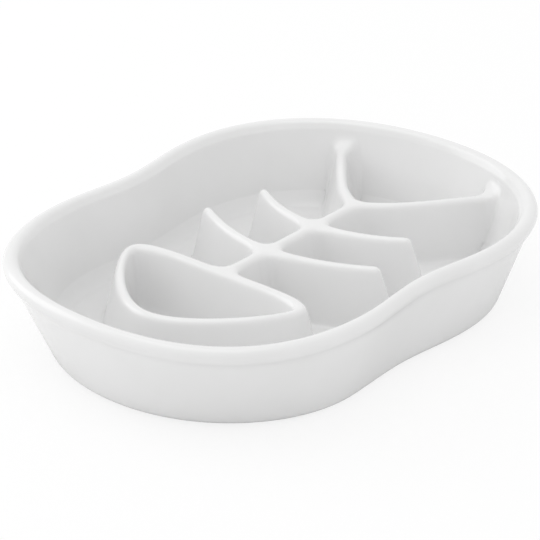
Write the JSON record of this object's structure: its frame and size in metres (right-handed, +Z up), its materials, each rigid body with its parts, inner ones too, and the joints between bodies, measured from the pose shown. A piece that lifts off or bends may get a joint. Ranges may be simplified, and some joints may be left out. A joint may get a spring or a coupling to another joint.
{
  "type": "slow feeder bowl",
  "caption": "Ceramic two-lobed pet bowl with a rolled lip and a fish-bone maze of rounded ridges on its floor, for slowing down a pet that eats too fast.",
  "frame": {"origin": "under the middle of the bowl, on the surface that it stands on", "axes": "+X along the bowl from the head of the fish bone to its tail, +Y to the fish bone's left, +Z up"},
  "size_m": [0.25, 0.1848, 0.0455],
  "materials": {
    "glaze": "gloss white glaze",
    "bisque": "unglazed, matt"
  },
  "bodies": {
    "root": {"rolled_lip": "glaze", "bowl_wall": "glaze", "bowl_floor": "glaze", "foot_ring": "bisque", "head_ring": "glaze", "spine": "glaze", "front_rib_left": "glaze", "front_rib_right": "glaze", "rear_rib_left": "glaze", "rear_rib_right": "glaze", "tail_fin_left": "glaze", "tail_fin_right": "glaze"}
  },
  "joints": []
}
